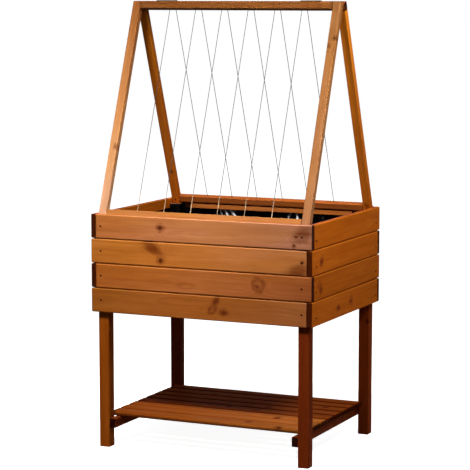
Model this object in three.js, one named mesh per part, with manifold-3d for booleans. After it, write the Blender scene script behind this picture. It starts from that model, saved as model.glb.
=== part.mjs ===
// A raised planter on four posts, with a slatted shelf below and a folding string trellis on top.
// Millimetres, +Z up. The front faces -Y and the width runs along X.
// The origin is the centre of the footprint, on the floor.

import * as THREE from 'three';
import { RoundedBoxGeometry } from 'three/addons/geometries/RoundedBoxGeometry.js';
import { mergeVertices } from 'three/addons/utils/BufferGeometryUtils.js';
import Module from 'manifold-3d';

const wasm = await Module();
wasm.setup();

// ---------------------------------------------------------------- driving dimensions

// Gap kept between pieces that touch, and the free play round loose ones.
const seat = 0.3;
const play = 1;

// The box: four courses of boards round four posts.
const boxWidth = 850;
const boxDepth = 650;
const rimHeight = 845;
const courseCount = 4;
const boardHeight = 86;
const boardThickness = 18;
const courseGap = 2.4;
const postSize = 40;
const postTopBelowRim = 21;

// The floor of the box.
const floorBattenWidth = 30;
const floorBattenHeight = 24;
const floorPanelThickness = 18;

// The film that lines the box.
const filmThickness = 1.5;
const filmBelowRim = 38;

// The shelf: bearers against the inside of the posts, slats across them.
const bearerThickness = 23;
const bearerHeight = 35;
const bearerTop = 107;
const slatCount = 8;
const slatWidth = 60;
const slatPitch = 66.8;
const slatThickness = 18;
const slatOverhang = 18;
const slatOffset = 1;

// The trellis: two leaning frames that meet at a hinge.
const hingeHeight = 1588.4;
const battenWidth = 30;
const battenDepth = 24;
const topBarHeight = 28;
const railHeight = 24;
const railAboveRim = 16.5;
const legInset = 1.4;
const frameFromBoxFace = 21.2;
const foldGap = 2.2;
const cordCount = 6;
const cordFromLeg = 117.6;
const cordDiameter = 2.4;

// The hinges.
const hingeLength = 60;
const hingeFromLeg = 93.6;
const leafThickness = 2;
const barrelRadius = 3;
const hingePinRadius = 1.4;
const knuckleCount = 3;

// Eased edges.
const boardEase = 3;
const postEase = 2.5;
const slatEase = 2.5;
const trellisEase = 2;

// Facets round a cord and a hinge barrel, and steps along a cord.
const cordSides = 8;
const cordSteps = 6;
const barrelSides = 16;

// ---------------------------------------------------------------- derived places

const halfWidth = boxWidth / 2;
const halfDepth = boxDepth / 2;
const coursePitch = boardHeight + courseGap;
const boxBottom = rimHeight - courseCount * boardHeight - (courseCount - 1) * courseGap;
const innerHalfWidth = halfWidth - boardThickness;
const innerHalfDepth = halfDepth - boardThickness;
const postX = innerHalfWidth - seat - postSize / 2;
const postY = innerHalfDepth - seat - postSize / 2;
const postTop = rimHeight - postTopBelowRim;
const floorBattenTop = boxBottom + floorBattenHeight;
const floorTop = floorBattenTop + seat + floorPanelThickness;
const filmTop = rimHeight - filmBelowRim;
const legFoot = postTop + seat + filmThickness + seat;
const shelfTop = bearerTop + seat + slatThickness;
const bearerX = postX - postSize / 2 - seat - bearerThickness / 2;

// The outer face of a trellis frame runs from the rim past the hinge axis, frameDepth away from it.
const frameDepth = foldGap + battenDepth;
const rimHalfDepth = halfDepth - frameFromBoxFace;
const hingeAboveRim = hingeHeight - rimHeight;
const lean = Math.atan2(rimHalfDepth, hingeAboveRim)
  - Math.asin(frameDepth / Math.hypot(rimHalfDepth, hingeAboveRim));
const legX = innerHalfWidth - legInset - battenWidth / 2;
const legInnerX = legX - battenWidth / 2;
const barMiddle = foldGap + battenDepth / 2;
const cordPitch = (2 * (legInnerX - cordFromLeg)) / (cordCount - 1);
const hingeX = legInnerX - hingeFromLeg;

// Where the rail's outer top edge lies, measured down the outer face from the hinge axis.
const railTop = (frameDepth * Math.sin(lean) + hingeAboveRim - railAboveRim) / Math.cos(lean);

// ---------------------------------------------------------------- materials

const wood = (colour, roughness = 0.6) => new THREE.MeshStandardMaterial({
  color: colour, roughness, metalness: 0,
});
const steel = (colour, roughness) => new THREE.MeshStandardMaterial({
  color: colour, roughness, metalness: 0.9,
});
const finishes = {
  board: () => wood('#b57038'),
  post: () => wood('#8a4a1c'),
  hidden: () => wood('#9c6a3c', 0.8),
  slat: () => wood('#96582a'),
  batten: () => wood('#b9783f'),
  film: () => new THREE.MeshStandardMaterial({ color: '#0b0b0d', roughness: 0.25, metalness: 0 }),
  cord: () => new THREE.MeshStandardMaterial({ color: '#c9c2b4', roughness: 0.9, metalness: 0 }),
  hinge: () => steel('#4a3a2e', 0.5),
};

// ---------------------------------------------------------------- solids

// A closed geometry as a solid for cutting, and back again.
function toSolid(geometry) {
  const bare = geometry.clone();
  bare.deleteAttribute('normal');
  bare.deleteAttribute('uv');
  const merged = mergeVertices(bare, 1e-4);
  return new wasm.Manifold(new wasm.Mesh({
    numProp: 3,
    vertProperties: new Float32Array(merged.attributes.position.array),
    triVerts: new Uint32Array(merged.index.array),
  }));
}

function fromSolid(solid) {
  const mesh = solid.getMesh();
  const geometry = new THREE.BufferGeometry();
  geometry.setAttribute('position', new THREE.BufferAttribute(mesh.vertProperties, 3));
  geometry.setIndex(new THREE.BufferAttribute(mesh.triVerts, 1));
  geometry.computeVertexNormals();
  return geometry;
}

// A plain box between two corners.
function block(low, high) {
  const size = high.map((value, axis) => value - low[axis]);
  const centre = high.map((value, axis) => (value + low[axis]) / 2);
  return new THREE.BoxGeometry(...size).translate(...centre);
}

// A planed timber between two corners, with every edge eased.
function timber(low, high, ease) {
  const size = high.map((value, axis) => value - low[axis]);
  const centre = high.map((value, axis) => (value + low[axis]) / 2);
  const radius = Math.min(ease, Math.min(...size) / 4);
  return new RoundedBoxGeometry(...size, 1, radius).translate(...centre);
}

function piece(parent, name, geometry, material) {
  const mesh = new THREE.Mesh(geometry, material);
  mesh.name = name;
  parent.add(mesh);
}

const sides = [['left', -1], ['right', 1]];
const ends = [['front', -1], ['rear', 1]];

// ---------------------------------------------------------------- box

const courseMiddle = (course) => rimHeight - boardHeight / 2 - course * coursePitch;

function addPosts(group) {
  for (const [sideName, x] of sides) {
    for (const [endName, y] of ends) {
      const low = [x * postX - postSize / 2, y * postY - postSize / 2, 0];
      const high = [x * postX + postSize / 2, y * postY + postSize / 2, postTop];
      piece(group, `post_${endName}_${sideName}`, timber(low, high, postEase), finishes.post());
    }
  }
}

// Each board laps past the next one at one end and butts against the last one at the other.
// Round the box the laps follow each other, and every other course turns the other way.
function addBoards(group) {
  const butt = boardThickness + seat;
  for (let course = 0; course < courseCount; course += 1) {
    const turn = course % 2 === 0 ? 1 : -1;
    const low = courseMiddle(course) - boardHeight / 2;
    const high = courseMiddle(course) + boardHeight / 2;
    for (const [endName, y] of ends) {
      const lapSide = -y * turn;
      const x0 = lapSide > 0 ? -halfWidth + butt : -halfWidth;
      const x1 = lapSide > 0 ? halfWidth : halfWidth - butt;
      const y0 = y < 0 ? -halfDepth : innerHalfDepth;
      const board = timber([x0, y0, low], [x1, y0 + boardThickness, high], boardEase);
      piece(group, `board_${endName}_${course + 1}`, board, finishes.board());
    }
    for (const [sideName, x] of sides) {
      const lapEnd = x * turn;
      const y0 = lapEnd > 0 ? -halfDepth + butt : -halfDepth;
      const y1 = lapEnd > 0 ? halfDepth : halfDepth - butt;
      const x0 = x < 0 ? -halfWidth : innerHalfWidth;
      const board = timber([x0, y0, low], [x0 + boardThickness, y1, high], boardEase);
      piece(group, `board_${sideName}_${course + 1}`, board, finishes.board());
    }
  }
}

// The space of each post, grown by `room`, from one height to another.
function postBlocks(room, bottom, top) {
  const reach = postSize / 2 + room;
  const blocks = [];
  for (const [, x] of sides) {
    for (const [, y] of ends) {
      blocks.push(block(
        [x * postX - reach, y * postY - reach, bottom],
        [x * postX + reach, y * postY + reach, top],
      ));
    }
  }
  return blocks;
}

// A panel notched round the posts, on two battens along the bottom course.
function addFloor(group) {
  const battenEnd = postX - postSize / 2 - play;
  for (const [endName, y] of ends) {
    const middle = y * (innerHalfDepth - seat - floorBattenWidth / 2);
    const batten = timber(
      [-battenEnd, middle - floorBattenWidth / 2, boxBottom],
      [battenEnd, middle + floorBattenWidth / 2, floorBattenTop],
      slatEase,
    );
    piece(group, `floor_batten_${endName}`, batten, finishes.hidden());
  }
  let panel = toSolid(block(
    [-innerHalfWidth + play, -innerHalfDepth + play, floorBattenTop + seat],
    [innerHalfWidth - play, innerHalfDepth - play, floorTop],
  ));
  for (const notch of postBlocks(play, 0, rimHeight)) {
    panel = panel.subtract(toSolid(notch));
  }
  piece(group, 'floor_panel', fromSolid(panel), finishes.hidden());
}

// The film stands against the boards, steps round the posts and folds over their tops.
function addLiner(group) {
  const x = innerHalfWidth - seat;
  const y = innerHalfDepth - seat;
  const bottom = floorTop + seat;
  const hoodTop = postTop + seat + filmThickness;
  const hollow = block(
    [-x + filmThickness, -y + filmThickness, bottom + filmThickness],
    [x - filmThickness, y - filmThickness, rimHeight],
  );
  const room = toSolid(block([-x, -y, bottom], [x, y, rimHeight]));
  let film = toSolid(block([-x, -y, bottom], [x, y, filmTop])).subtract(toSolid(hollow));
  for (const hood of postBlocks(seat + filmThickness, bottom, hoodTop)) {
    film = film.add(toSolid(hood).intersect(room));
  }
  for (const post of postBlocks(seat, 0, postTop + seat)) {
    film = film.subtract(toSolid(post));
  }
  piece(group, 'liner', fromSolid(film), finishes.film());
}

// Two bearers between the front and the back posts, and the slats across them.
function addShelf(group) {
  const reach = postY + postSize / 2;
  for (const [sideName, x] of sides) {
    const bearer = timber(
      [x * bearerX - bearerThickness / 2, -reach, bearerTop - bearerHeight],
      [x * bearerX + bearerThickness / 2, reach, bearerTop],
      slatEase,
    );
    piece(group, `shelf_bearer_${sideName}`, bearer, finishes.post());
  }
  const slatEnd = bearerX + bearerThickness / 2 + slatOverhang;
  for (let i = 0; i < slatCount; i += 1) {
    const middle = slatOffset + (i - (slatCount - 1) / 2) * slatPitch;
    const slat = timber(
      [-slatEnd, middle - slatWidth / 2, bearerTop + seat],
      [slatEnd, middle + slatWidth / 2, shelfTop],
      slatEase,
    );
    piece(group, `shelf_slat_${i + 1}`, slat, finishes.slat());
  }
}

// ---------------------------------------------------------------- trellis

// Each frame is built in a group that turns about the hinge axis. In it, `depth` runs from the axis
// towards the outer face and `down` runs along the legs, so that y is side * depth and z is -down.

// The depth and down of a point that is `out` from the middle plane and at a height over the floor.
function inFrame(out, height) {
  const drop = hingeHeight - height;
  return [
    out * Math.cos(lean) - drop * Math.sin(lean),
    out * Math.sin(lean) + drop * Math.cos(lean),
  ];
}

// What is left of an outline on the inner side of a line through `point` with the outward `normal`.
function clipped(outline, point, normal) {
  const beyond = ([a, b]) => (a - point[0]) * normal[0] + (b - point[1]) * normal[1];
  const kept = [];
  outline.forEach((current, i) => {
    const next = outline[(i + 1) % outline.length];
    const here = beyond(current);
    const there = beyond(next);
    if (here <= 0) kept.push(current);
    if (here * there < 0) {
      const t = here / (here - there);
      kept.push([
        current[0] + (next[0] - current[0]) * t,
        current[1] + (next[1] - current[1]) * t,
      ]);
    }
  });
  return kept;
}

// An outline with its corners rounded off by a short curve.
function easedOutline(outline, ease) {
  const shape = new THREE.Shape();
  const points = outline.map(([a, b]) => new THREE.Vector2(a, b));
  points.forEach((corner, i) => {
    const before = points[(i + points.length - 1) % points.length];
    const after = points[(i + 1) % points.length];
    const toBefore = corner.distanceTo(before);
    const toAfter = corner.distanceTo(after);
    const start = corner.clone().lerp(before, Math.min(ease / toBefore, 1 / 3));
    const end = corner.clone().lerp(after, Math.min(ease / toAfter, 1 / 3));
    if (i === 0) shape.moveTo(start.x, start.y);
    else shape.lineTo(start.x, start.y);
    shape.quadraticCurveTo(corner.x, corner.y, end.x, end.y);
  });
  shape.closePath();
  return shape;
}

// A leg whose side view is an outline in depth and down.
function sideCutLeg(outline, side, centreX) {
  const ease = Math.min(trellisEase, battenWidth / 4);
  const mapped = outline.map(([depth, down]) => [side * depth, -down]);
  const leg = new THREE.ExtrudeGeometry(easedOutline(mapped, ease), {
    depth: battenWidth - 2 * ease,
    curveSegments: 2,
    bevelEnabled: true,
    bevelThickness: ease,
    bevelSize: ease,
    bevelOffset: -ease,
    bevelSegments: 2,
  });
  const toRow = new THREE.Matrix4().makeBasis(
    new THREE.Vector3(0, 1, 0),
    new THREE.Vector3(0, 0, 1),
    new THREE.Vector3(1, 0, 0),
  );
  return leg.translate(0, 0, ease - battenWidth / 2).applyMatrix4(toRow).translate(centreX, 0, 0);
}

// The legs are cut level where they stand on the posts, and upright where they meet the boards.
function legOutline(top) {
  const foot = inFrame(innerHalfDepth - seat, legFoot);
  const bottom = foot[1] + frameDepth;
  const blank = [[foldGap, top], [frameDepth, top], [frameDepth, bottom], [foldGap, bottom]];
  const level = [-Math.sin(lean), Math.cos(lean)];
  const upright = [Math.cos(lean), Math.sin(lean)];
  return clipped(clipped(blank, foot, level), foot, upright);
}

// A bar across a frame, between -end and end along X, and `height` down from its top.
function crossBar(side, end, top, height) {
  const near = side < 0 ? -frameDepth : foldGap;
  return timber([-end, near, -top - height], [end, near + battenDepth, -top], trellisEase);
}

// A straight, taut cord in the middle plane of a frame.
function cord(side, x, fromDown, toDown) {
  const section = new THREE.Shape();
  const corners = Array.from({ length: cordSides }, (_, i) => {
    const angle = (i / cordSides) * 2 * Math.PI;
    return new THREE.Vector2(Math.cos(angle), Math.sin(angle)).multiplyScalar(cordDiameter / 2);
  });
  section.setFromPoints(corners);
  const path = new THREE.LineCurve3(
    new THREE.Vector3(x, side * barMiddle, -fromDown),
    new THREE.Vector3(x, side * barMiddle, -toDown),
  );
  return new THREE.ExtrudeGeometry(section, {
    steps: cordSteps, extrudePath: path, bevelEnabled: false,
  });
}

// One leaf with its share of the barrel, which is centred on the axis and level with the leaf's
// underside. Knuckles alternate: the rear leaf holds the outer ones.
function hingeLeaf(side, centreX) {
  const pitch = hingeLength / knuckleCount;
  const firstOwn = side < 0 ? 1 : 0;
  const outerEdge = side * (frameDepth - seat);
  const low = -barrelRadius;
  let leaf = toSolid(block(
    [centreX - hingeLength / 2, Math.min(outerEdge, 0), low],
    [centreX + hingeLength / 2, Math.max(outerEdge, 0), low + leafThickness],
  ));
  for (let i = 0; i < knuckleCount; i += 1) {
    const middle = centreX + (i - (knuckleCount - 1) / 2) * pitch;
    if (i % 2 === firstOwn) {
      const knuckle = new THREE.CylinderGeometry(
        barrelRadius, barrelRadius, pitch - seat, barrelSides,
      );
      leaf = leaf.add(toSolid(knuckle.rotateZ(Math.PI / 2).translate(middle, 0, 0)));
    } else {
      const reach = barrelRadius + 2 * seat;
      const half = pitch / 2 + seat / 2;
      leaf = leaf.subtract(toSolid(block(
        [middle - half, -reach, -reach],
        [middle + half, reach, reach],
      )));
    }
  }
  const bore = new THREE.CylinderGeometry(
    hingePinRadius + seat, hingePinRadius + seat, hingeLength + 2 * play, barrelSides,
  );
  leaf = leaf.subtract(toSolid(bore.rotateZ(Math.PI / 2).translate(centreX, 0, 0)));
  return fromSolid(leaf);
}

function addHingePins(group) {
  for (const [sideName, x] of sides) {
    const pin = new THREE.CylinderGeometry(
      hingePinRadius, hingePinRadius, hingeLength, barrelSides,
    );
    pin.rotateZ(Math.PI / 2).translate(x * hingeX, 0, 0);
    piece(group, `hinge_pin_${sideName}`, pin, finishes.hinge());
  }
}

// In the front frame the top bar sits between the legs; in the rear frame it lies over them.
function addFrame(group, endName, side) {
  const barOverLegs = side > 0;
  const barTop = barrelRadius + seat;
  const barBottom = barTop + topBarHeight;
  const legTop = barOverLegs ? barBottom + seat : barTop;
  const barEnd = barOverLegs ? legX + battenWidth / 2 : legInnerX - seat;
  const outline = legOutline(legTop);
  for (const [sideName, x] of sides) {
    const leg = sideCutLeg(outline, side, x * legX);
    piece(group, `trellis_leg_${endName}_${sideName}`, leg, finishes.batten());
  }
  const bar = crossBar(side, barEnd, barTop, topBarHeight);
  piece(group, `trellis_top_bar_${endName}`, bar, finishes.batten());
  const rail = crossBar(side, legInnerX - seat, railTop, railHeight);
  piece(group, `trellis_rail_${endName}`, rail, finishes.batten());
  for (let i = 0; i < cordCount; i += 1) {
    const x = (i - (cordCount - 1) / 2) * cordPitch;
    const strand = cord(side, x, barBottom + seat, railTop - seat);
    piece(group, `cord_${endName}_${i + 1}`, strand, finishes.cord());
  }
  for (const [sideName, x] of sides) {
    const leaf = hingeLeaf(side, x * hingeX);
    piece(group, `hinge_leaf_${endName}_${sideName}`, leaf, finishes.hinge());
  }
}

// ---------------------------------------------------------------- assembly

const planter = new THREE.Group();
addPosts(planter);
addBoards(planter);
addFloor(planter);
addLiner(planter);
addShelf(planter);

const hingeAxis = new THREE.Group();
hingeAxis.position.set(0, 0, hingeHeight);
addHingePins(hingeAxis);
planter.add(hingeAxis);
for (const [endName, side] of ends) {
  const frame = new THREE.Group();
  frame.rotation.x = side * lean;
  addFrame(frame, endName, side);
  hingeAxis.add(frame);
}

export default planter;
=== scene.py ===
# %% [markdown]
# # A raised planter with a string trellis
#
# The object is a wooden box on four posts, with a slatted shelf under it and two leaning frames on
# top that meet at a pair of hinges and hold taut cords for climbing plants. Its sizes and its
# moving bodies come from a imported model, the frame. This script dresses that frame: every timber
# gets eased edges and stained pine, the box gets its crumpled film, the frames their cords, and
# the boards their screws. Nothing here moves or resizes a part of the frame.

# %% Open the frame
import math
import random

import bmesh
import bpy
import numpy as np
from mathutils import Matrix, Vector, noise


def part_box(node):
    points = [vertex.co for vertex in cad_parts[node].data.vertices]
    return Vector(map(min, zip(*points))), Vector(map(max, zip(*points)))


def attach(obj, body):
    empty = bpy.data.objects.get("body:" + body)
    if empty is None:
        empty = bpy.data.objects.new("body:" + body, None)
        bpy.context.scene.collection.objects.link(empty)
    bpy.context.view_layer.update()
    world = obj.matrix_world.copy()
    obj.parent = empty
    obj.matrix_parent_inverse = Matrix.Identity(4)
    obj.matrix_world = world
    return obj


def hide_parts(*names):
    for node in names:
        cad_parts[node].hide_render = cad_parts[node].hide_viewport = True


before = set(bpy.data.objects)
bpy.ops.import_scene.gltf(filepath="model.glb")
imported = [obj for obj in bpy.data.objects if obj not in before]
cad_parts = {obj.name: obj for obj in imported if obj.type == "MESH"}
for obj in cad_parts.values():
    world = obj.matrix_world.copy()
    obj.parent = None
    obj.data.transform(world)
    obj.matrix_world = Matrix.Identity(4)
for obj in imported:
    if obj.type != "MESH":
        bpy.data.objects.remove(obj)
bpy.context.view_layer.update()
scene = bpy.context.scene

# %% [markdown]
# ## Camera
#
# The picture is taken from the front right, a little above the rim of the box, with a long lens.
# Its place and tilt were fitted to the corners of the box and the posts, so the upright edges
# converge as they do in the photograph, without a lens shift.

# %% Camera
camera_place = (2.897, -6.3195, 1.6226)
camera_turn = math.radians(24.71)
camera_tilt = math.radians(7.12)

camera_data = bpy.data.cameras.new("camera")
camera_data.sensor_width = 36.0
camera_data.lens = 148.5
camera = bpy.data.objects.new("camera", camera_data)
camera.location = camera_place
camera.rotation_euler = (math.pi / 2 - camera_tilt, 0, camera_turn)
scene.collection.objects.link(camera)
scene.camera = camera
scene.view_settings.view_transform = "Standard"
print("camera distance:", round(Vector(camera_place).length, 2), "m")

# %% [markdown]
# ## Building with nodes
#
# Shader trees and Geometry Nodes trees are wired by script in the same way. A node's output is
# wrapped as a wire, and arithmetic on wires adds the maths nodes, so that a formula reads as it is
# written on paper. A formula is worked out on vectors as soon as one vector takes part in it.


# %% Wires
def plug(socket, value):
    """Feeds an input with a wire or with a plain value."""
    if isinstance(value, Wire):
        socket.id_data.links.new(value.socket, socket)
    elif socket.type == "VECTOR" and isinstance(value, (int, float)):
        socket.default_value = (value,) * 3
    else:
        socket.default_value = value


def add(tree, kind, inputs=None, out=0, **options):
    """Adds a node and returns one of its outputs. Inputs and the output go by name or number."""
    made = tree.nodes.new(kind)
    for key, value in options.items():
        setattr(made, key, value)
    for key, value in (inputs or {}).items():
        plug(made.inputs[key], value)
    return Wire(made.outputs[out]) if made.outputs else None


class Wire:
    """A node's output. Each operation on it adds the node that works it out."""

    def __init__(self, socket):
        self.socket = socket
        self.tree = socket.id_data
        self.wide = socket.type in ("VECTOR", "RGBA")

    def then(self, operation, *others):
        wide = self.wide or any(isinstance(o, tuple) or isinstance(o, Wire) and o.wide for o in others)
        kind = "ShaderNodeVectorMath" if wide else "ShaderNodeMath"
        out = "Value" if operation in ("LENGTH", "DOT_PRODUCT") else 0
        return add(self.tree, kind, dict(enumerate((self, *others))), out, operation=operation)

    def __add__(self, other):
        return self.then("ADD", other)

    def __sub__(self, other):
        return self.then("SUBTRACT", other)

    def __rsub__(self, other):
        return self * -1.0 + other

    def __mul__(self, other):
        return self.then("MULTIPLY", other)

    def __truediv__(self, other):
        return self.then("DIVIDE", other)

    def __abs__(self):
        return self.then("ABSOLUTE")

    def ramp(self, low, high, to_low=0.0, to_high=1.0):
        """Runs smoothly from to_low to to_high as the value goes from low to high."""
        values = {0: self, 1: low, 2: high, 3: to_low, 4: to_high}
        return add(self.tree, "ShaderNodeMapRange", values, interpolation_type="SMOOTHSTEP")

    def band(self, low, peak, high):
        """1 at the peak, and smoothly 0 below low and above high."""
        return self.ramp(low, peak) * self.ramp(peak, high, 1.0, 0.0)

    def parts(self):
        """The three numbers of a vector."""
        first = add(self.tree, "ShaderNodeSeparateXYZ", {0: self})
        return [Wire(socket) for socket in first.socket.node.outputs]

    def noise(self, scale, detail, roughness=0.5, out="Fac"):
        """Soft noise at a place."""
        values = {"Vector": self, "Scale": scale, "Detail": detail, "Roughness": roughness}
        return add(self.tree, "ShaderNodeTexNoise", values, out)


def combine(tree, x, y, z):
    return add(tree, "ShaderNodeCombineXYZ", {0: x, 1: y, 2: z})


def blend(share, below, above):
    """Mixes two colours."""
    return add(share.tree, "ShaderNodeMix", {0: share, 6: below, 7: above}, 2, data_type="RGBA")


def srgb(red, green, blue):
    """A colour as a picture shows it, 0 to 255, in the linear values that shaders use."""
    values = []
    for channel in (red, green, blue):
        share = channel / 255
        values.append(share / 12.92 if share <= 0.04045 else ((share + 0.055) / 1.055) ** 2.4)
    return (*values, 1.0)


print("mid grey in linear light:", round(srgb(128, 128, 128)[0], 3))

# %% [markdown]
# Node groups and materials come with some routine too: a group's named sockets, and a material's
# tree and shader.

# %% Groups and materials
FLOAT, VECTOR, INTEGER = "NodeSocketFloat", "NodeSocketVector", "NodeSocketInt"
GEOMETRY, MATERIAL = "NodeSocketGeometry", "NodeSocketMaterial"


def new_group(name, kind, inputs, outputs):
    """A node group with named sockets. Returns its tree, its inputs by name and its outputs."""
    tree = bpy.data.node_groups.new(name, kind)
    for label, socket_kind, value in inputs:
        socket = tree.interface.new_socket(label, in_out="INPUT", socket_type=socket_kind)
        if value is not None:
            socket.default_value = value
    for label, socket_kind in outputs:
        tree.interface.new_socket(label, in_out="OUTPUT", socket_type=socket_kind)
    start = tree.nodes.new("NodeGroupInput")
    given = {socket.name: Wire(socket) for socket in start.outputs if socket.name}
    return tree, given, tree.nodes.new("NodeGroupOutput").inputs


def use_group(tree, group, values):
    """Places a shader node group. Returns its outputs by name."""
    node = tree.nodes.new("ShaderNodeGroup")
    node.node_tree = group
    for label, value in values.items():
        plug(node.inputs[label], value)
    return {socket.name: Wire(socket) for socket in node.outputs}


def new_material(name):
    """A material, its tree, and the inputs of its shader."""
    material = bpy.data.materials.new(name)
    material.use_nodes = True
    tree = material.node_tree
    return material, tree, tree.nodes["Principled BSDF"].inputs


def read(tree, name):
    """An attribute of the mesh."""
    return add(tree, "ShaderNodeAttribute", out="Vector", attribute_type="GEOMETRY", attribute_name=name)


def row_place(tree):
    """The place in the row's own coordinates."""
    return add(tree, "ShaderNodeTexCoord", out="Object")


def relieve(skin, height, strength, distance):
    """Tilts the light on a surface by a height."""
    values = {"Strength": strength, "Distance": distance, "Height": height}
    plug(skin["Normal"], add(height.tree, "ShaderNodeBump", values))


# %% [markdown]
# ## Stained pine
#
# A plank is cut out of a tree, so its pattern is solid: growth rings are long tubes round the pith,
# and a face shows them as arches while an end shows them as arcs. The pattern is therefore worked
# out in three dimensions, in each plank's own directions, with x along the grain. Every plank mesh
# carries those directions as an attribute called grain, so one material serves them all, whichever
# way a plank lies, and it moves with the plank when the trellis folds.
#
# The group below turns a place in the wood into five masks: the dark late wood of the rings, long
# streaks where the stain took differently, the fine fibres, wide soft patches, and a mottle.

# %% The grain group
grain_group, given, end = new_group(
    "pine grain",
    "ShaderNodeTree",
    [("Place", VECTOR, None), ("Push", FLOAT, 0.0), ("Ring width", FLOAT, 0.004)],
    [(label, FLOAT) for label in ("Rings", "Streaks", "Fibres", "Patches", "Mottle")],
)


def along_grain(place, along, across, detail, roughness=0.5):
    """Noise drawn out along the grain: its features are longer in x by across / along."""
    return (place * (along, across, across)).noise(1.0, detail, roughness)


place = given["Place"]
drift = along_grain(place, 1.6, 9.0, 2.0)
from_pith = (place * (0.0, 1.0, 1.0)).then("LENGTH")
ring_phase = ((drift * 0.03 + from_pith) / given["Ring width"] + given["Push"]).then("FRACT")
plug(end["Rings"], ring_phase.ramp(0.25, 0.85) * ring_phase.ramp(0.9, 1.0, 1.0, 0.0))
grain_noises = {
    "Streaks": (2.5, 62.0, 5.0, 0.62),
    "Fibres": (14.0, 900.0, 2.0, 0.6),
    "Patches": (3.0, 11.0, 2.0, 0.5),
    "Mottle": (9.0, 34.0, 4.0, 0.6),
}
for label, settings in grain_noises.items():
    plug(end[label], along_grain(place, *settings).ramp(0.3, 0.7))
print("grain group nodes:", len(grain_group.nodes))

# %% [markdown]
# A knot is a branch that the plank was sawn through. Its core is dark, a pale collar surrounds it,
# the stain soaks in deeper about it as a haze, and the growth rings flow round it. Where a knot lies
# is an attribute too: knot_1 to knot_4 hold the way from the knot's centre, measured in knot radii
# along its two axes, and the knot's strength. Up to a half, only the cloud shows, as on a board that
# missed the branch by a little, and above that the core shows too. Well under a half the haze turns
# into a ring, the swirl that a bent branch leaves. The group gives the masks of one knot, and a push
# on the ring count that bends the rings.

# %% The knot group
knot_group, given, end = new_group(
    "knot",
    "ShaderNodeTree",
    [("Way", VECTOR, None), ("Seed", FLOAT, 0.0)],
    [(label, FLOAT) for label in ("Core", "Collar", "Cloud", "Push")],
)
strength = given["Way"].parts()[2]
on_face = given["Way"] * (1.0, 1.0, 0.0)
own_place = on_face + combine(knot_group, 0.0, 0.0, given["Seed"])


def warped(scale, detail, reach):
    """The distance from the knot, bent by a noise of its own."""
    wobble = own_place.noise(scale, detail, out="Color") - 0.5
    return (on_face + wobble * (reach, reach, 0.0)).then("LENGTH")


distance = warped(0.45, 4.0, 2.8)
plain_distance = warped(0.8, 2.0, 0.7)
core_strength = strength.ramp(0.5, 1.0)
cloud_strength = strength.ramp(0.0, 0.5)
haze_to_ring = {
    "Factor": strength.ramp(0.36, 0.5, 0.75, 0.0),
    "A": distance.ramp(0.5, 3.5, 1.0, 0.0),
    "B": distance.band(0.7, 1.9, 3.1),
}
cloud = add(knot_group, "ShaderNodeMix", haze_to_ring, data_type="FLOAT")
plug(end["Core"], plain_distance.ramp(0.7, 1.15, 1.0, 0.0) * core_strength)
plug(end["Collar"], plain_distance.band(1.0, 1.4, 2.2) * core_strength)
plug(end["Cloud"], cloud * cloud_strength)
plug(end["Push"], plain_distance.ramp(0.5, 6.0, 2.2, 0.0) * cloud_strength)
print("knot group nodes:", len(knot_group.nodes))

# %% [markdown]
# The material starts from the plank's own stain, which is an attribute because stained planks never match,
# and because some stains also carry painted light: the front boards run from pinkish to brown, and the ends
# are amber. Early wood is a little paler and pinker than the stain, other patches more golden, and late
# wood, streaks and clouds darker. End grain drinks far more stain and goes nearly black. The narrow sides
# are darkened with painted shade, for the gaps between planks and the rim, and the upper edges get a
# painted highlight. The sheen is low: the stain leaves hardly a film, and the fibres stand up from it.

# %% The pine material
KNOTS_PER_PLANK = 4
PALE_WOOD = (1.16, 1.20, 1.40)
GOLDEN_WOOD = (1.10, 1.08, 0.75)
LATE_WOOD = (0.70, 0.58, 0.45)
CLOUDED_WOOD = (0.36, 0.21, 0.10)
MOTTLED_WOOD = (0.86, 0.78, 0.70)
KNOT_WOOD = (0.20, 0.11, 0.08)
END_WOOD = (0.10, 0.06, 0.05)
EDGE_SHADE_WOOD = (0.38, 0.13, 0.07)
EDGE_HIGHLIGHT_WOOD = (1.5, 1.9, 2.6)


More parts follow.
